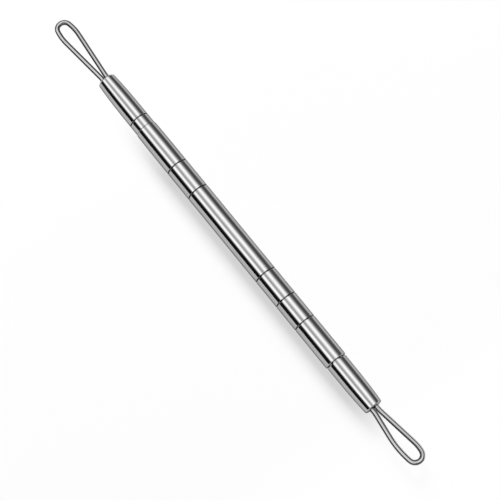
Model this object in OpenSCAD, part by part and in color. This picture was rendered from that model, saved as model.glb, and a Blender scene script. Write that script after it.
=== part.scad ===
// Double-ended blackhead extractor: a slim sectioned steel handle with a wire loop at each end.
// The tool lies along X, with its long loop towards -X, and rests on Z = 0 on its widest sections.

/* [Handle] */
// Diameter of the grip, the spacers and the sleeves
handle_d = 4.8; // [4.3:0.1:6]
// Length of the grip in the middle
grip_l = 22.2; // [15:0.1:30]
// Length of the spacer between the grip and the sleeve at the long loop's end
long_spacer_l = 6.9; // [4:0.1:10]
// Length of the spacer between the grip and the band at the short loop's end
short_spacer_l = 6.5; // [4:0.1:10]
// Length of the band between the spacer and the sleeve at the short loop's end
band_l = 6; // [4:0.1:10]
// Length of the sleeve at the long loop's end
long_sleeve_l = 10.55; // [8:0.05:16]
// Length of the sleeve at the short loop's end
short_sleeve_l = 9.95; // [8:0.05:16]
// Length of the neck ring between the long loop's ferrule and its sleeve
neck_l = 2.45; // [1.5:0.05:4]

/* [Seams] */
// Rounding of each outer rim at a seam
rim_round = 0.06; // [0.04:0.01:0.15]
// Rounding of the sleeve's lip around the short loop's ferrule
lip_round = 0.32; // [0.15:0.01:0.4]
// Depth by which the outer part of an end face stands back from its seating land
face_relief = 0.13; // [0.03:0.01:0.15]
// Width of the flat land that seats on the next piece
land_w = 0.45; // [0.3:0.05:0.6]
// Height of the nose of the long sleeve above the neck ring
nose_step = 0.1; // [0.04:0.01:0.1]
// Length over which that nose swells to the handle's diameter
nose_l = 6; // [3:0.1:7]

/* [Ferrules] */
// Length of each ferrule
ferrule_l = 11.5; // [10:0.1:15]
// Step from the handle's surface down to the ferrule's rear end
ferrule_step = 0.16; // [0.1:0.01:0.25]
// How much the ferrule's radius thins from its rear end to its face
ferrule_thinning = 0.29; // [0.1:0.01:0.4]
// Rounding of the rim around the ferrule's face
face_round = 0.4; // [0.2:0.05:0.5]
// Depth by which the brazing stands back from the face
braze_recess = 0.3; // [0.1:0.05:0.6]

/* [Loops] */
// Diameter of the loop wire
wire_d = 1.05; // [0.7:0.05:1.1]
// Gap between the two legs of a loop where they lie side by side
leg_gap = 0.04; // [0.02:0.01:0.08]
// Depth to which the legs reach into the ferrule
leg_depth = 4.6; // [3:0.1:5]
// Distance from the ferrule's face to where the legs part
parting_x = 1; // [0.9:0.1:2]
// Bend radius of the legs where they part
parting_r = 5; // [3:0.5:8]
// Distance from the face to the centre of the long loop's tip arc
long_tip_x = 14.9; // [12:0.05:18]
// Radius of the long loop's tip arc, to the wire's centre
long_tip_r = 1.47; // [1.2:0.01:1.6]
// Radius of the long loop's shoulders
long_shoulder_r = 10.7; // [6:0.1:20]
// How far the long loop's straight flanks would pass outside its tip arc
long_swell = 0.43; // [0.2:0.01:0.6]
// Distance from the face to the centre of the short loop's tip arc
short_tip_x = 11.95; // [10:0.05:16]
// Radius of the short loop's tip arc, to the wire's centre
short_tip_r = 1.5; // [1.2:0.01:1.6]
// Sideways lean of the short loop's tip towards +Y
short_lean = 0.33; // [0:0.01:0.4]
// Radius of the short loop's shoulder on the side that it leans to
short_shoulder_near_r = 7.4; // [5:0.1:12]
// How far the flank on that side would pass outside the tip arc
short_swell_near = 0.25; // [0.15:0.01:0.4]
// Radius of the short loop's shoulder on the other side
short_shoulder_far_r = 18.9; // [10:0.1:22]
// How far the flank on the other side would pass outside the tip arc
short_swell_far = 0.83; // [0.5:0.01:0.9]

/* [Tie rod] */
// Diameter of the tie rod's threaded ends
thread_d = 2.5; // [2:0.1:3]
// Diameter of the plain shank between the threads
shank_d = 2.4; // [1.8:0.1:2.9]
// Length of thread in each ferrule
thread_l = 4.5; // [3:0.1:5]
// Radial clearance between the tie rod and the sleeves that slide over it
slide_gap = 0.05; // [0.03:0.01:0.1]
// Radial clearance of the threads in the ferrules
thread_gap = 0.02; // [0.01:0.01:0.04]
// Gap left for brazing metal around each leg and inside the ferrule's bore
braze_gap = 0.01; // [0.01:0.005:0.02]

/* [Hidden] */

steel = "#c9ccd0";
bright_steel = "#d8dadd";
wire_steel = "#b4b8bd";
braze_tone = "#8e8a84";
rod_steel = "#9aa0a6";

// Steps of a curve in an outline, facets of round work and how far a chord may leave its arc
rim_steps = 6;
taper_steps = 14;
round_fn = 96;
wire_sides = 20;
chord_error = 0.004;

// Bevel of the two rims that meet at the neck ring's tight seam
tight_rim = 0.08;
// Bevel around the mouth of the bore for the legs
mouth_bevel = 0.1;
// Bevel at either end of the tie rod, and the free space beyond it
thread_chamfer = 0.25;
tie_rod_tip_gap = 0.2;
// How far a cutting shape runs past the face that it opens
cut_over = 1;

// Radii and depths that follow from the sizes above
handle_r = handle_d / 2;
neck_r = handle_r - ferrule_step;
wire_r = wire_d / 2;
leg_y = wire_r + leg_gap / 2;
leg_bore_r = leg_y + wire_r + braze_gap;
sleeve_bore_r = max(thread_d, shank_d) / 2 + slide_gap;
thread_bore_r = thread_d / 2 + thread_gap;
leg_bore_depth = leg_depth + braze_gap;
thread_bore_depth = thread_l + tie_rod_tip_gap;

// Stations along X, from the long loop's tip to the short loop's tip
long_reach = long_tip_x + long_tip_r + wire_r;
short_reach = short_tip_x + short_tip_r + wire_r;
stack = [ferrule_l, neck_l, long_sleeve_l, long_spacer_l, grip_l,
         short_spacer_l, band_l, short_sleeve_l, ferrule_l];
function stack_length(count) = count == 0 ? 0 : stack[count - 1] + stack_length(count - 1);
handle_l = stack_length(len(stack));
long_face_x = -(long_reach + handle_l + short_reach) / 2 + long_reach;
function station(count) = long_face_x + stack_length(count);
short_face_x = station(len(stack));

// Points of a quarter arc or part of one, in [radius, distance along the axis]
function arc(center, r, from, to, steps) =
    [for (i = [0 : steps]) let (a = from + (to - from) * i / steps) center + r * [cos(a), sin(a)]];

// Turns a solid of revolution made along +Z so that it runs along +X from the given station
module along_x(x) {
    translate([x, 0, handle_r])
        rotate([0, 90, 0])
            children();
}

// Outline of one end of a turned piece: its seating land, its relieved face and its rounded rim
function end_outline(r, bore_r, rim, relief) =
    concat([[bore_r, 0], [bore_r + land_w, 0], [bore_r + land_w, relief]],
           arc([r - rim, rim + relief], rim, -90, 0, rim_steps));

// The same outline for the far end of a piece of length l, in the order that closes the shape
function far_end_outline(l, r, bore_r, rim, relief) =
    let (near = end_outline(r, bore_r, rim, relief))
    [for (i = [len(near) - 1 : -1 : 0]) [near[i][0], l - near[i][1]]];

// A bored sleeve of the handle, with the rounding of its rim at either end
module sleeve(l, rim_low, rim_high) {
    rotate_extrude($fn = round_fn)
        polygon(concat(end_outline(handle_r, sleeve_bore_r, rim_low, face_relief),
                       far_end_outline(l, handle_r, sleeve_bore_r, rim_high, face_relief)));
}

module grip() {
    color(bright_steel)
        along_x(station(4))
            sleeve(grip_l, rim_round, rim_round);
}

module long_end_spacer() {
    color(steel)
        along_x(station(3))
            sleeve(long_spacer_l, rim_round, rim_round);
}

module short_end_spacer() {
    color(steel)
        along_x(station(5))
            sleeve(short_spacer_l, rim_round, rim_round);
}

module short_end_band() {
    color(bright_steel)
        along_x(station(6))
            sleeve(band_l, rim_round, rim_round);
}

// The sleeve whose rounded lip stands proud of the ferrule
module short_end_sleeve() {
    color(steel)
        along_x(station(7))
            sleeve(short_sleeve_l, rim_round, lip_round);
}

// The sleeve whose nose swells in a slow curve from the neck ring to the handle's diameter
module long_end_sleeve() {
    nose_drop = ferrule_step - nose_step;
    swell = [for (i = [0 : taper_steps])
        let (t = 1 - i / taper_steps)
        [handle_r - nose_drop * t * t, tight_rim + (nose_l - tight_rim) * (1 - t)]];
    far_end = far_end_outline(long_sleeve_l, handle_r, sleeve_bore_r, rim_round, face_relief);
    color(steel)
        along_x(station(2))
            rotate_extrude($fn = round_fn)
                polygon(concat([[sleeve_bore_r, 0], [handle_r - nose_drop - tight_rim, 0]], swell, far_end));
}

// The plain ring behind the long loop's ferrule
module neck_ring() {
    tight_end = [[neck_r, neck_l - tight_rim], [neck_r - tight_rim, neck_l], [sleeve_bore_r, neck_l]];
    color(bright_steel)
        along_x(station(1))
            rotate_extrude($fn = round_fn)
                polygon(concat(end_outline(neck_r, sleeve_bore_r, rim_round, face_relief), tight_end));
}

// Radius of a ferrule at a distance from its face: it thins ever faster towards the face
function ferrule_r(x) = neck_r - ferrule_thinning * pow(1 - x / ferrule_l, 3);

// Outline of a ferrule, from the centre of its face round the rim and back along its side
function ferrule_outline() =
    let (lean = atan(3 * ferrule_thinning / ferrule_l * pow(1 - face_round / ferrule_l, 2)),
         rim_end = face_round * (1 - sin(lean)),
         rim_center = [ferrule_r(rim_end) - face_round * cos(lean), face_round],
         side_end = ferrule_l - rim_round - face_relief,
         side = [for (i = [1 : taper_steps])
             let (x = rim_end + (side_end - rim_end) * pow(i / taper_steps, 1.5))
             [ferrule_r(x), x]])
    concat([[0, 0]],
           arc(rim_center, face_round, -90, -lean, rim_steps + 2),
           side,
           far_end_outline(ferrule_l, neck_r, thread_bore_r, rim_round, face_relief),
           [[0, ferrule_l]]);

// A ferrule, made from its face at Z = 0 to its rear end, with both of its blind bores
module ferrule() {
    mouth_r = leg_bore_r + mouth_bevel;
    difference() {
        rotate_extrude($fn = round_fn)
            polygon(ferrule_outline());
        translate([0, 0, -cut_over])
            cylinder(r = leg_bore_r, h = leg_bore_depth + cut_over, $fn = round_fn);
        cylinder(r1 = mouth_r, r2 = leg_bore_r, h = mouth_bevel, $fn = round_fn);
        translate([0, 0, ferrule_l - thread_bore_depth])
            cylinder(r = thread_bore_r, h = thread_bore_depth + cut_over, $fn = round_fn);
    }
}

module long_loop_ferrule() {
    color(steel)
        along_x(long_face_x)
            ferrule();
}

module short_loop_ferrule() {
    color(steel)
        along_x(short_face_x)
            mirror([0, 0, 1])
                ferrule();
}

// Brazing metal that fills the ferrule's bore around the two legs
module brazing() {
    difference() {
        translate([0, 0, braze_recess])
            cylinder(r = leg_bore_r - braze_gap, h = leg_depth - braze_recess, $fn = round_fn);
        for (side = [-1, 1])
            translate([0, side * leg_y, -cut_over])
                cylinder(r = wire_r + braze_gap, h = leg_depth + 2 * cut_over, $fn = round_fn);
    }
}

module long_loop_brazing() {
    color(braze_tone)
        along_x(long_face_x)
            brazing();
}

module short_loop_brazing() {
    color(braze_tone)
        along_x(short_face_x)
            mirror([0, 0, 1])
                brazing();
}

// How one side of a loop runs: the angle of its flank, the place where its leg starts to bend, the centre of
// its shoulder arc and the angle where that meets the tip arc. The loop points along +X from the ferrule's
// face and this side lies towards +Y. The straight flank clears the tip arc by the swell.
function loop_side(tip, tip_r, swell, shoulder_r) =
    let (span = tip - [parting_x, leg_y],
         flank_a = atan2(span[1], span[0]) + asin((tip_r + swell) / norm(span)),
         inset = shoulder_r - tip_r,
         back = sqrt(pow(inset, 2) - pow(inset - swell, 2)),
         along = [cos(flank_a), sin(flank_a)],
         inward = [sin(flank_a), -cos(flank_a)],
         shoulder = tip - back * along + (inset - swell) * inward,
         to_tip = tip - shoulder)
    [flank_a, parting_x - parting_r * tan(flank_a / 2), shoulder, atan2(to_tip[1], to_tip[0])];

// Number of steps that keeps the chords of an arc close to it
function arc_steps(r, sweep) = ceil(abs(sweep) / (2 * acos(1 - chord_error / r)));

// Stations along an arc, each a point and the heading of the wire there, from one angle down or up to another
function arc_stations(center, r, from, to) =
    let (steps = arc_steps(r, to - from), turn = to > from ? 90 : -90)
    [for (i = [0 : steps])
        let (a = from + (to - from) * i / steps)
        [center + r * [cos(a), sin(a)], a + turn]];

// Stations of one side of a loop, from the end of its leg to the start of the tip arc
function side_stations(side, shoulder_r) =
    let (flank_a = side[0],
         bend = arc_stations([side[1], leg_y + parting_r], parting_r, -90, flank_a - 90),
         shoulder = arc_stations(side[2], shoulder_r, flank_a + 90, side[3]))
    concat([[[-leg_depth, leg_y], 0]], bend, shoulder);

// The same stations met from the tip, on the other side of the loop
function mirrored_stations(stations) =
    [for (i = [len(stations) - 1 : -1 : 0]) [[stations[i][0][0], -stations[i][0][1]], 180 - stations[i][1]]];

// A round wire swept through stations in the XY plane
module swept_wire(stations) {
    rings = [for (s = stations, j = [0 : wire_sides - 1])
        let (a = 360 * j / wire_sides, out = wire_r * cos(a))
        [s[0][0] - out * sin(s[1]), s[0][1] + out * cos(s[1]), wire_r * sin(a)]];
    last = len(stations) - 1;
    walls = [for (i = [0 : last - 1], j = [0 : wire_sides - 1])
        let (k = (j + 1) % wire_sides, a = i * wire_sides, b = a + wire_sides)
        [a + j, a + k, b + k, b + j]];
    first_cap = [for (j = [wire_sides - 1 : -1 : 0]) j];
    last_cap = [for (j = [0 : wire_sides - 1]) last * wire_sides + j];
    polyhedron(rings, concat([first_cap], walls, [last_cap]), convexity = 4);
}

// A loop bent from one wire, with its swell and shoulder radius on the +Y side and on the -Y side
module wire_loop(tip_x, tip_r, lean, swells, shoulder_radii) {
    left = loop_side([tip_x, lean], tip_r, swells[0], shoulder_radii[0]);
    right = loop_side([tip_x, -lean], tip_r, swells[1], shoulder_radii[1]);
    swept_wire(concat(side_stations(left, shoulder_radii[0]),
                      arc_stations([tip_x, lean], tip_r, left[3], -right[3]),
                      mirrored_stations(side_stations(right, shoulder_radii[1]))));
}

module long_loop() {
    color(wire_steel)
        translate([long_face_x, 0, handle_r])
            rotate([0, 0, 180])
                wire_loop(long_tip_x, long_tip_r, 0, [long_swell, long_swell],
                          [long_shoulder_r, long_shoulder_r]);
}

module short_loop() {
    color(wire_steel)
        translate([short_face_x, 0, handle_r])
            wire_loop(short_tip_x, short_tip_r, short_lean, [short_swell_near, short_swell_far],
                      [short_shoulder_near_r, short_shoulder_far_r]);
}

// The rod that draws the ferrules together on the stack of sleeves
module tie_rod() {
    rod_l = handle_l - 2 * (ferrule_l - thread_l);
    thread_r = thread_d / 2;
    shank_r = shank_d / 2;
    root_r = thread_r - thread_chamfer;
    half = [[0, 0], [root_r, 0], [thread_r, thread_chamfer], [thread_r, thread_l], [shank_r, thread_l]];
    color(rod_steel)
        along_x(long_face_x + ferrule_l - thread_l)
            rotate_extrude($fn = round_fn)
                polygon(concat(half, [for (i = [len(half) - 1 : -1 : 0]) [half[i][0], rod_l - half[i][1]]]));
}

long_loop();
long_loop_ferrule();
long_loop_brazing();
neck_ring();
long_end_sleeve();
long_end_spacer();
grip();
short_end_spacer();
short_end_band();
short_end_sleeve();
short_loop_ferrule();
short_loop_brazing();
short_loop();
tie_rod();
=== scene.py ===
"""Looks of the double-ended blackhead extractor: steel, drawn wire, a pale floor and studio light."""

import math

import bpy
from mathutils import Matrix, Vector


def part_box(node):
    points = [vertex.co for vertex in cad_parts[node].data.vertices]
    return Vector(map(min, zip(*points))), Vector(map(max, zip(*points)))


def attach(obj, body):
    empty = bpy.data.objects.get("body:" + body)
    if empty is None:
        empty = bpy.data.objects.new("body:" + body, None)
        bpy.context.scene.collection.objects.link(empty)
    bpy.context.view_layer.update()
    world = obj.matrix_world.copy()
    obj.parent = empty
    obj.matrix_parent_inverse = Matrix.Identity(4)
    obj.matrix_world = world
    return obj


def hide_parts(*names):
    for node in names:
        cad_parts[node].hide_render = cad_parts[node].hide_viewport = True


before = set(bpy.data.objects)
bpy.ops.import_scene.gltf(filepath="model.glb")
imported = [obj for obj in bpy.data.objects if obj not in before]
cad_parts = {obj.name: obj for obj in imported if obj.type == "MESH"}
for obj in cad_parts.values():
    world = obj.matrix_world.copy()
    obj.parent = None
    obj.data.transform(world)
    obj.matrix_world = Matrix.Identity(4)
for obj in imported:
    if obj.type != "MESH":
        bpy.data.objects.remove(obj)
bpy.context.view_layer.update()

MM = 0.001
BODY = "root"
WHITE = (1.0, 1.0, 1.0, 1.0)

# The photograph's camera: where it stands round the tool, its distance and the point that it looks at,
# with the lens and the sensor in millimetres
CAMERA_AZIMUTH = math.radians(52.08)
CAMERA_ELEVATION = math.radians(72.09)
CAMERA_DISTANCE = 305.7 * MM
CAMERA_TARGET = Vector((5.20, 0.77, 2.4)) * MM
CAMERA_LENS = 110.0
SENSOR_WIDTH = 36.0
NEAR_CLIP = 0.01
FAR_CLIP = 10.0

# Polished steel: how fast its polishing lines, scratches and smudges change along X, Y and Z, per metre
POLISHING_SCALE = (9000.0, 260.0, 260.0)
SCRATCH_SCALE = (350.0, 5200.0, 5200.0)
SMUDGE_SCALE = 420.0
# The part of a noise's values over which a finish changes
SMUDGE_RANGE = (0.35, 0.7)
SCRATCH_RANGE = (0.6, 0.8)
TONE_RANGE = (0.3, 0.75)
CLEAN_TONE = (0.465, 0.465, 0.468, 1.0)
SMUDGED_TONE = (0.440, 0.440, 0.442, 1.0)
STEEL_EDGE_TINT = (0.3, 0.3, 0.3, 1.0)
STEEL_ROUGHNESS = (0.05, 0.08)
# What scratches and the rubbed ends add to the roughness, and how far from a seam an end is rubbed
SCRATCH_ROUGHNESS = 0.08
RUBBED_END_ROUGHNESS = 0.08
RUBBED_END_LENGTH = 0.5 * MM
# Height of the scratches as a share of the polishing lines' height
SCRATCH_HEIGHT = 0.5
STEEL_BUMP = {"strength": 0.15, "distance": 0.004 * MM}

# Drawn wire: how fast its drawn lines change along and round it, per millimetre and per turn
WIRE_LINE_SCALE = (1.2, 60.0, 1.0)
WIRE_SMUDGE_SCALE = 600.0
WIRE_ROUGHNESS = (0.04, 0.07)
WIRE_EDGE_TINT = (0.0, 0.0, 0.0, 1.0)
WIRE_BUMP = {"strength": 0.05, "distance": 0.002 * MM}
# Painted highlight: the side of the wire that is painted bright, and how it leans outwards for each
# metre off the loop's middle
HIGHLIGHT_SIDE = Vector((0.05, -0.21, 1.0)).normalized()
HIGHLIGHT_LEAN = 0.12 / (3.0 * MM)
# The cosines of the turns away from it to where the painted highlight is full and to where it ends
HIGHLIGHT_CORE = math.cos(math.radians(2.0))
HIGHLIGHT_EDGE = math.cos(math.radians(22.0))
# The wire's colour in the painted highlight
HIGHLIGHT_TONE = 0.48
# Painted shade: the darker colour of the wire's flanks
SHADED_FLANK_TONE = 0.14
# Painted light: the flank towards +Y is painted lighter. The sine of its turn to where that starts and
# to where it is full, and how much lighter it is on either loop
LIT_FLANK_START = 0.25
LIT_FLANK_FULL = 0.6
LONG_LOOP_FLANK_LIGHT = 0.15
SHORT_LOOP_FLANK_LIGHT = 0.6

# Brazing metal
PIT_SCALE = 3500.0
PIT_RANGE = (0.3, 0.7)
BRAZING_ROUGHNESS = (0.35, 0.6)
BRAZING_TONE = (0.22, 0.21, 0.20, 1.0)
BRAZING_BUMP = {"strength": 0.6, "distance": 0.05 * MM}

# The tie rod's turned steel
TURNING_SCALE = (6000.0, 200.0, 200.0)
TURNING_RANGE = (0.3, 0.7)
ROD_ROUGHNESS = (0.25, 0.4)
ROD_TONE = (0.56, 0.57, 0.59, 1.0)
ROD_BUMP = {"strength": 0.4, "distance": 0.01 * MM}

# Facets of the loops' wire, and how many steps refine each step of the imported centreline
WIRE_SIDES = 40
WIRE_REFINEMENT = 4
# A step this many times as long as its neighbour is a straight
STRAIGHT_SHARE = 5.0
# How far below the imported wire's top its crown's vertices may lie, and the decimals of a metre that
# tell them apart
CROWN_DEPTH = 0.001 * MM
POINT_DIGITS = 7
# The map of the length along the wire and the turn round it
WIRE_UV = "wire"

# The light tent over the tool: (degrees from straight up towards +Y, brightness of the cloth there)
TENT_BANDS = (
    (-90.0, 0.01),
    (-62.0, 0.01),
    (-57.0, 0.05),
    (-53.0, 0.35),
    (-49.0, 1.05),
    (-44.0, 1.90),
    (-38.0, 2.25),
    (-30.0, 1.90),
    (-21.0, 0.98),
    (-13.0, 0.60),
    (-6.0, 0.85),
    (2.0, 1.42),
    (10.0, 1.95),
    (18.0, 2.20),
    (25.0, 1.90),
    (32.0, 1.30),
    (39.0, 0.78),
    (47.0, 0.33),
    (56.0, 0.14),
    (68.0, 0.11),
    (78.0, 0.20),
    (90.0, 0.45),
)
TENT_RADIUS = 0.6
TENT_LENGTH = 2.4
TENT_SEGMENTS = 96
# The even grey of the tent's ends, and how far along the tool the cloth starts and ends its turn to
# that grey, as shares of the tent's radius
TENT_END_LEVEL = 0.5
TENT_END_START = 0.8
TENT_END_FULL = 1.7

# The world's even fill on dull surfaces, and the white that the camera, metal and glass see
AMBIENT = 0.2
BACKDROP_WHITE = 1.0

# One soft key from beyond the long loop on the +Y side, long along the tool
KEY_DIRECTION = Vector((-1.8, 0.6, 1.0)).normalized()
KEY_DISTANCE = 4.0
KEY_LENGTH = 2.4
KEY_WIDTH = 1.35
KEY_POWER = 374.0

FLOOR_SIDE = 3.0
FLOOR_COLOUR = (0.8, 0.8, 0.8, 1.0)
# How much of the floor's white is its own glow. For the camera it grows over a stretch of X towards
# either loop, so that the shadow fades out there.
FLOOR_GLOW = 0.58
LONG_END_GLOW = 1.0
LONG_END_FADE = (-36.0 * MM, -16.0 * MM)
SHORT_END_GLOW = 0.95
SHORT_END_FADE = (39.0 * MM, 53.0 * MM)

TURNED_NODES = (
    "long_loop_ferrule",
    "neck_ring",
    "long_end_sleeve",
    "long_end_spacer",
    "grip",
    "short_end_spacer",
    "short_end_band",
    "short_end_sleeve",
    "short_loop_ferrule",
)

# A Mix node has its own sockets for each kind of value: factor, first value, second value and result
NUMBER_SOCKETS = (0, 2, 3, 0)
COLOUR_SOCKETS = (0, 6, 7, 2)


class Nodes:
    """Adds nodes to a tree and links them, with plain numbers and colours set on the sockets."""

    def __init__(self, tree):
        tree.nodes.clear()
        self.tree = tree

    def add(self, kind, settings=None, **sockets):
        node = self.tree.nodes.new(kind)
        for name, value in (settings or {}).items():
            setattr(node, name, value)
        for name, value in sockets.items():
            self.feed(node.inputs[name.replace("_", " ")], value)
        return node

    def feed(self, socket, value):
        if isinstance(value, bpy.types.NodeSocket):
            self.tree.links.new(value, socket)
        else:
            socket.default_value = value

    def feed_in_order(self, node, values):
        for socket, value in zip(node.inputs, values):
            self.feed(socket, value)

    def math(self, operation, *values, clamp=False):
        node = self.add("ShaderNodeMath", {"operation": operation, "use_clamp": clamp})
        self.feed_in_order(node, values)
        return node.outputs[0]

    def vector_math(self, operation, *values, result="Vector"):
        node = self.add("ShaderNodeVectorMath", {"operation": operation})
        self.feed_in_order(node, values)
        return node.outputs[result]

    def blend(self, factor, first, second, kind="FLOAT", sockets=NUMBER_SOCKETS):
        node = self.add("ShaderNodeMix", {"data_type": kind})
        for socket, value in zip(sockets, (factor, first, second)):
            self.feed(node.inputs[socket], value)
        return node.outputs[sockets[-1]]

    def blend_colours(self, factor, first, second):
        return self.blend(factor, first, second, "RGBA", COLOUR_SOCKETS)

    def span(self, value, low, high, to_low, to_high):
        """A value's way from low to high, turned softly into the way from to_low to to_high."""
        node = self.add("ShaderNodeMapRange", {"interpolation_type": "SMOOTHSTEP"})
        self.feed_in_order(node, (value, low, high, to_low, to_high))
        return node.outputs[0]

    def place(self):
        """The point of the surface, in metres, in the frame's own axes."""
        return self.add("ShaderNodeTexCoord").outputs["Object"]

    def along(self, vector, axis):
        return self.add("ShaderNodeSeparateXYZ", Vector=vector).outputs[axis]

    def noise(self, vector, scale=1.0, detail=2.0, roughness=0.5):
        node = self.add("ShaderNodeTexNoise", Vector=vector, Scale=scale, Detail=detail,
                        Roughness=roughness)
        return node.outputs[0]

    def stretched_noise(self, vector, scales, detail, roughness=0.5):
        stretched = self.vector_math("MULTIPLY", vector, scales)
        return self.noise(stretched, detail=detail, roughness=roughness)

    def bump(self, height, strength, distance):
        node = self.add("ShaderNodeBump", Strength=strength, Distance=distance, Height=height)
        return node.outputs[0]


def new_material(name):
    material = bpy.data.materials.new(name)
    material.use_nodes = True
    return material, Nodes(material.node_tree)


def finish_surface(nodes, shader):
    nodes.add("ShaderNodeOutputMaterial", Surface=shader.outputs[0])


def finish_metal(nodes, tone, rough, normal, edge_tint=WHITE):
    shader = nodes.add("ShaderNodeBsdfPrincipled", Metallic=1.0, Base_Color=tone, Roughness=rough,
                       Normal=normal, Specular_Tint=edge_tint)
    finish_surface(nodes, shader)


def seen_rays(nodes):
    """1 for a ray from the camera, metal or glass, and 0 for light that bounces off dull surfaces."""
    path = nodes.add("ShaderNodeLightPath")
    camera_or_glossy = nodes.math("ADD", path.outputs["Is Camera Ray"], path.outputs["Is Glossy Ray"])
    return nodes.math("ADD", camera_or_glossy, path.outputs["Is Transmission Ray"], clamp=True)


# Materials

def polished_steel(node_name):
    """Mirror-polished turned steel, with faint polishing lines, scratches, smudges and ends roughened
    by use.
    """
    low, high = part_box(node_name)
    material, nodes = new_material("polished_steel_" + node_name)
    place = nodes.place()
    station = nodes.along(place, "X")

    # Polishing lines run round the piece and fine scratches lie along it. Handling leaves soft smudges.
    lines = nodes.stretched_noise(place, POLISHING_SCALE, detail=3.0, roughness=0.6)
    scratches = nodes.stretched_noise(place, SCRATCH_SCALE, detail=4.0, roughness=0.7)
    smudges = nodes.noise(place, SMUDGE_SCALE)

    from_low = nodes.math("SUBTRACT", station, low.x)
    from_high = nodes.math("SUBTRACT", high.x, station)
    from_end = nodes.math("MINIMUM", from_low, from_high)
    end_rub = nodes.span(from_end, 0.0, RUBBED_END_LENGTH, RUBBED_END_ROUGHNESS, 0.0)

    rough = nodes.span(smudges, *SMUDGE_RANGE, *STEEL_ROUGHNESS)
    rough = nodes.math("ADD", rough, nodes.span(scratches, *SCRATCH_RANGE, 0.0, SCRATCH_ROUGHNESS))
    rough = nodes.math("ADD", rough, end_rub)

    height = nodes.math("ADD", lines, nodes.math("MULTIPLY", scratches, SCRATCH_HEIGHT))
    tone = nodes.blend_colours(nodes.span(smudges, *TONE_RANGE, 0.0, 1.0), CLEAN_TONE, SMUDGED_TONE)
    finish_metal(nodes, tone, rough, nodes.bump(height, **STEEL_BUMP), STEEL_EDGE_TINT)
    return material


def painted_wire_light(nodes, place, normal):
    """Painted light on the wire: a painted highlight along its crown and underside, and painted shade
    on its flanks.
    """
    sideways = nodes.along(normal, "Y")
    outwards = nodes.math("MULTIPLY", nodes.along(place, "Y"), HIGHLIGHT_LEAN)
    lean = nodes.math("MULTIPLY", outwards, sideways)
    upright = nodes.vector_math("DOT_PRODUCT", normal, HIGHLIGHT_SIDE, result="Value")
    facing = nodes.math("ABSOLUTE", nodes.math("ADD", upright, lean))
    # Painted highlight: the band of the wire that faces the highlight side is given a bright colour
    highlight_band = nodes.span(facing, HIGHLIGHT_EDGE, HIGHLIGHT_CORE, 0.0, 1.0)

    # Painted light: the flank towards +Y is painted lighter, more on the short loop
    on_short_loop = nodes.math("GREATER_THAN", nodes.along(place, "X"), 0.0)
    flank_light = nodes.blend(on_short_loop, LONG_LOOP_FLANK_LIGHT, SHORT_LOOP_FLANK_LIGHT)
    lit_flank = nodes.math("MULTIPLY", flank_light, nodes.span(sideways, LIT_FLANK_START, LIT_FLANK_FULL, 0.0, 1.0))
    # The flanks get the painted shade's dark colour, and the band gets the painted highlight's colour
    return nodes.blend(highlight_band, nodes.math("ADD", lit_flank, SHADED_FLANK_TONE), HIGHLIGHT_TONE)


def drawn_wire():
    """Drawn wire with fine lines along it, a painted highlight along its crown and painted shade along
    its flanks.
    """
    material, nodes = new_material("loop_wire")
    coordinates = nodes.add("ShaderNodeTexCoord")
    place = coordinates.outputs["Object"]
    uv = nodes.add("ShaderNodeUVMap", {"uv_map": WIRE_UV}).outputs[0]
    lines = nodes.stretched_noise(uv, WIRE_LINE_SCALE, detail=3.0, roughness=0.6)
    smudges = nodes.noise(place, WIRE_SMUDGE_SCALE)
    # The wire's colour carries painted light: a highlight along its crown and shade along its flanks
    tone = painted_wire_light(nodes, place, coordinates.outputs["Normal"])
    rough = nodes.span(smudges, *SMUDGE_RANGE, *WIRE_ROUGHNESS)
    finish_metal(nodes, tone, rough, nodes.bump(lines, **WIRE_BUMP), WIRE_EDGE_TINT)
    return material


def brazing_metal():
    """Dull silver brazing, pitted and a little dark from the flux."""
    material, nodes = new_material("brazing_metal")
    pits = nodes.noise(nodes.place(), PIT_SCALE, detail=4.0, roughness=0.6)
    rough = nodes.span(pits, *PIT_RANGE, *BRAZING_ROUGHNESS)
    finish_metal(nodes, BRAZING_TONE, rough, nodes.bump(pits, **BRAZING_BUMP))
    return material


def turned_rod():
    """Plain turned steel of the rod inside the handle."""
    material, nodes = new_material("rod_steel")
    lines = nodes.stretched_noise(nodes.place(), TURNING_SCALE, detail=3.0)
    rough = nodes.span(lines, *TURNING_RANGE, *ROD_ROUGHNESS)
    finish_metal(nodes, ROD_TONE, rough, nodes.bump(lines, **ROD_BUMP))
    return material


def pale_floor():
    """A white floor that partly glows for the camera, metal and glass, and still keeps shadows."""
    material, nodes = new_material("floor")
    station = nodes.along(nodes.place(), "X")
    long_end = nodes.span(station, *LONG_END_FADE, LONG_END_GLOW, FLOOR_GLOW)
    short_end = nodes.span(station, *SHORT_END_FADE, FLOOR_GLOW, SHORT_END_GLOW)
    faded = nodes.math("MAXIMUM", long_end, short_end)
    to_camera = nodes.add("ShaderNodeLightPath").outputs["Is Camera Ray"]
    glow_share = nodes.math("MULTIPLY", seen_rays(nodes), nodes.blend(to_camera, FLOOR_GLOW, faded))

    paint = nodes.add("ShaderNodeBsdfDiffuse", Color=FLOOR_COLOUR)
    glow = nodes.add("ShaderNodeEmission", Color=WHITE, Strength=1.0)
    mix = nodes.add("ShaderNodeMixShader")
    nodes.feed_in_order(mix, (glow_share, paint.outputs[0], glow.outputs[0]))
    finish_surface(nodes, mix)
    return material


def fill_tent_ramp(ramp, brightest):
    """Sets the tent's bands on a colour ramp that runs from -90 to 90 degrees."""
    elements = ramp.elements
    while len(elements) < len(TENT_BANDS):
        elements.new(1.0)
    for element, (degrees, level) in zip(elements, TENT_BANDS):
        share = level / brightest
        element.position = degrees / 180.0 + 0.5
        element.color = (share, share, share, 1.0)
    ramp.interpolation = "EASE"


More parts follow.
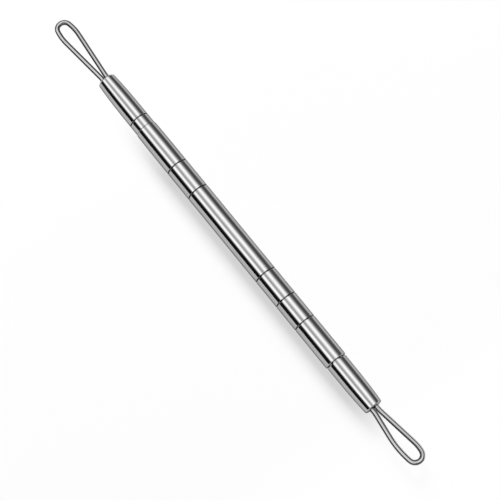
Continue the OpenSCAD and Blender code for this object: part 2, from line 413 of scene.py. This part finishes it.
def tent_cloth():
    """The tent's cloth: bright strips and dark flags along the tool, and grey towards its ends."""
    material, nodes = new_material("tent_cloth")
    brightest = max(level for _, level in TENT_BANDS)
    parts = nodes.add("ShaderNodeSeparateXYZ", Vector=nodes.place()).outputs
    angle = nodes.math("ARCTAN2", parts["Y"], parts["Z"])
    turn = nodes.math("MULTIPLY_ADD", angle, 1.0 / math.pi, 0.5, clamp=True)
    ramp = nodes.add("ShaderNodeValToRGB", Fac=turn)
    fill_tent_ramp(ramp.color_ramp, brightest)
    bands = nodes.math("MULTIPLY", ramp.outputs[0], brightest)

    distance = nodes.math("DIVIDE", nodes.math("ABSOLUTE", parts["X"]), TENT_RADIUS)
    towards_end = nodes.span(distance, TENT_END_START, TENT_END_FULL, 0.0, 1.0)
    strength = nodes.blend(towards_end, bands, TENT_END_LEVEL)
    finish_surface(nodes, nodes.add("ShaderNodeEmission", Color=WHITE, Strength=strength))
    return material


# Pieces

def wire_stations(node_name):
    """The wire's centreline, clockwise from above from one leg's end to the other's, and its radius.

    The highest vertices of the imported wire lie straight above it. They are sorted round a point in
    the tip.
    """
    low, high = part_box(node_name)
    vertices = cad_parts[node_name].data.vertices
    crown = {(round(v.co.x, POINT_DIGITS), round(v.co.y, POINT_DIGITS))
             for v in vertices if v.co.z > high.z - CROWN_DEPTH}
    towards_tip = 1.0 if low.x > 0.0 else -1.0
    tip = high.x if towards_tip > 0.0 else low.x
    inside = Vector((tip - towards_tip * (high.y - low.y) / 2, (high.y + low.y) / 2))
    turned = [(math.atan2(y - inside.y, (x - inside.x) * towards_tip), x, y) for x, y in crown]
    turned.sort(reverse=towards_tip > 0.0)
    radius = (high.z - low.z) / 2
    return [Vector((x, y, high.z - radius)) for _, x, y in turned], radius


def heading_between(before, after):
    """The wire's heading where two chords meet: a long straight keeps its own, and short ones share."""
    if before.length > STRAIGHT_SHARE * after.length:
        return before.normalized()
    if after.length > STRAIGHT_SHARE * before.length:
        return after.normalized()
    return (before.normalized() + after.normalized()).normalized()


def hermite(start, end, leaving, arriving, t):
    """A point of the cubic curve between two points with the given slopes, and its heading there."""
    point = (start * (2 * t**3 - 3 * t**2 + 1) + leaving * (t**3 - 2 * t**2 + t)
             + end * (3 * t**2 - 2 * t**3) + arriving * (t**3 - t**2))
    heading = (start * (6 * t**2 - 6 * t) + leaving * (3 * t**2 - 4 * t + 1)
               + end * (6 * t - 6 * t**2) + arriving * (3 * t**2 - 2 * t)).normalized()
    return point, heading


def refined_path(stations):
    """The stations with a smooth curve between them, as points with the heading of the wire at each."""
    chords = [b - a for a, b in zip(stations, stations[1:])]
    headings = [chords[0].normalized()]
    headings += [heading_between(before, after) for before, after in zip(chords, chords[1:])]
    headings.append(chords[-1].normalized())
    path = []
    for i, chord in enumerate(chords):
        leaving = headings[i] * chord.length
        arriving = headings[i + 1] * chord.length
        for k in range(WIRE_REFINEMENT):
            path.append(hermite(stations[i], stations[i + 1], leaving, arriving, k / WIRE_REFINEMENT))
    path.append((stations[-1], headings[-1]))
    return path


def wire_rings(path, radius):
    """The wire's vertices, ring by ring."""
    up = Vector((0.0, 0.0, radius))
    vertices = []
    for point, heading in path:
        across = Vector((-heading.y, heading.x, 0.0)) * radius
        for j in range(WIRE_SIDES):
            turn = math.tau * j / WIRE_SIDES
            vertices.append(point + across * math.cos(turn) + up * math.sin(turn))
    return vertices


def wire_walls(ring_count):
    """The faces between the wire's rings."""
    walls = []
    for i in range(ring_count - 1):
        this, following = i * WIRE_SIDES, (i + 1) * WIRE_SIDES
        for j in range(WIRE_SIDES):
            k = (j + 1) % WIRE_SIDES
            walls.append((this + j, this + k, following + k, following + j))
    return walls


def wire_caps(ring_count):
    """The two end faces of the wire."""
    last = (ring_count - 1) * WIRE_SIDES
    return [tuple(reversed(range(WIRE_SIDES))), tuple(range(last, last + WIRE_SIDES))]


def lay_wire_uvs(mesh, path):
    """Writes the length along the wire in millimetres, and the share of the way round it, as UVs."""
    lengths = [0.0]
    for (before, _), (after, _) in zip(path, path[1:]):
        lengths.append(lengths[-1] + (after - before).length / MM)
    uv = mesh.uv_layers.new(name=WIRE_UV)
    for polygon in mesh.polygons:
        corners = [divmod(mesh.loops[c].vertex_index, WIRE_SIDES) for c in polygon.loop_indices]
        closes_ring = any(side == WIRE_SIDES - 1 for _, side in corners)
        for corner, (ring, side) in zip(polygon.loop_indices, corners):
            turned = WIRE_SIDES if closes_ring and side == 0 else side
            uv.data[corner].uv = (lengths[ring], turned / WIRE_SIDES)


def wire_loop(name, node_name, material):
    """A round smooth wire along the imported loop's centreline, in place of its node."""
    stations, radius = wire_stations(node_name)
    path = refined_path(stations)
    walls = wire_walls(len(path))
    mesh = bpy.data.meshes.new(name)
    mesh.from_pydata(wire_rings(path, radius), [], walls + wire_caps(len(path)))
    mesh.update()
    for polygon in mesh.polygons:
        polygon.use_smooth = polygon.index < len(walls)
    lay_wire_uvs(mesh, path)
    mesh.materials.append(material)
    wire = bpy.data.objects.new(name, mesh)
    bpy.context.collection.objects.link(wire)
    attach(wire, BODY)
    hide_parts(node_name)


def wire_loops():
    wire = drawn_wire()
    wire_loop("long_wire_loop", "long_loop", wire)
    wire_loop("short_wire_loop", "short_loop", wire)


def dress(node_name, material):
    """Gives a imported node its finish."""
    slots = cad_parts[node_name].data.materials
    for i in range(len(slots)):
        slots[i] = material


def dress_handle():
    for node_name in TURNED_NODES:
        dress(node_name, polished_steel(node_name))
    brazing = brazing_metal()
    dress("long_loop_brazing", brazing)
    dress("short_loop_brazing", brazing)
    dress("tie_rod", turned_rod())


# Stage

def photo_camera():
    """The camera at the photograph's viewpoint."""
    data = bpy.data.cameras.new("camera")
    data.lens = CAMERA_LENS
    data.sensor_width = SENSOR_WIDTH
    data.clip_start = NEAR_CLIP
    data.clip_end = FAR_CLIP
    camera = bpy.data.objects.new("camera", data)
    bpy.context.collection.objects.link(camera)
    flat = math.cos(CAMERA_ELEVATION)
    back = Vector((math.sin(CAMERA_AZIMUTH) * flat,
                   -math.cos(CAMERA_AZIMUTH) * flat,
                   math.sin(CAMERA_ELEVATION)))
    camera.location = CAMERA_TARGET + back * CAMERA_DISTANCE
    camera.rotation_mode = "QUATERNION"
    camera.rotation_quaternion = (-back).to_track_quat("-Z", "Y")
    bpy.context.scene.camera = camera


def studio_world():
    """White for the camera, metal and glass, and a weak even fill on dull surfaces."""
    world = bpy.data.worlds.new("studio")
    world.use_nodes = True
    bpy.context.scene.world = world
    nodes = Nodes(world.node_tree)
    level = nodes.blend(seen_rays(nodes), AMBIENT, BACKDROP_WHITE)
    background = nodes.add("ShaderNodeBackground", Color=WHITE, Strength=level)
    nodes.add("ShaderNodeOutputWorld", Surface=background.outputs[0])


def stand_on_stage(name, vertices, faces, material):
    """Adds a mesh that isn't part of the tool."""
    mesh = bpy.data.meshes.new(name)
    mesh.from_pydata(vertices, [], faces)
    mesh.materials.append(material)
    piece = bpy.data.objects.new(name, mesh)
    bpy.context.collection.objects.link(piece)
    return piece


def light_tent():
    """A half-round tent along the tool with closed ends, which only metal sees."""
    arc = [math.pi * (i / TENT_SEGMENTS - 0.5) for i in range(TENT_SEGMENTS + 1)]
    rim = [(TENT_RADIUS * math.sin(a), TENT_RADIUS * math.cos(a)) for a in arc]
    count = len(rim)
    vertices = [(side * TENT_LENGTH / 2, y, z) for side in (-1, 1) for y, z in rim]
    faces = [(i, i + 1, count + i + 1, count + i) for i in range(count - 1)]
    faces.append(tuple(range(count)))
    faces.append(tuple(range(count, 2 * count)))
    tent = stand_on_stage("light_tent", vertices, faces, tent_cloth())
    tent.location.z = CAMERA_TARGET.z
    tent.visible_camera = False
    tent.visible_diffuse = False
    tent.visible_shadow = False


def key_light():
    """The soft lamp, turned so that its long side lies along the tool."""
    data = bpy.data.lights.new("key", "AREA")
    data.shape = "RECTANGLE"
    data.size = KEY_LENGTH
    data.size_y = KEY_WIDTH
    data.energy = KEY_POWER
    lamp = bpy.data.objects.new("key", data)
    bpy.context.collection.objects.link(lamp)
    along = (Vector((1.0, 0.0, 0.0)) - KEY_DIRECTION * KEY_DIRECTION.x).normalized()
    across = KEY_DIRECTION.cross(along)
    lamp.rotation_mode = "QUATERNION"
    lamp.rotation_quaternion = Matrix((along, across, KEY_DIRECTION)).transposed().to_quaternion()
    lamp.location = KEY_DIRECTION * KEY_DISTANCE
    lamp.visible_glossy = False


def floor():
    half = FLOOR_SIDE / 2
    corners = [(-half, -half, 0.0), (half, -half, 0.0), (half, half, 0.0), (-half, half, 0.0)]
    stand_on_stage("floor", corners, [(0, 1, 2, 3)], pale_floor())


bpy.context.scene.view_settings.view_transform = "Standard"
photo_camera()
studio_world()
light_tent()
key_light()
floor()
dress_handle()
wire_loops()
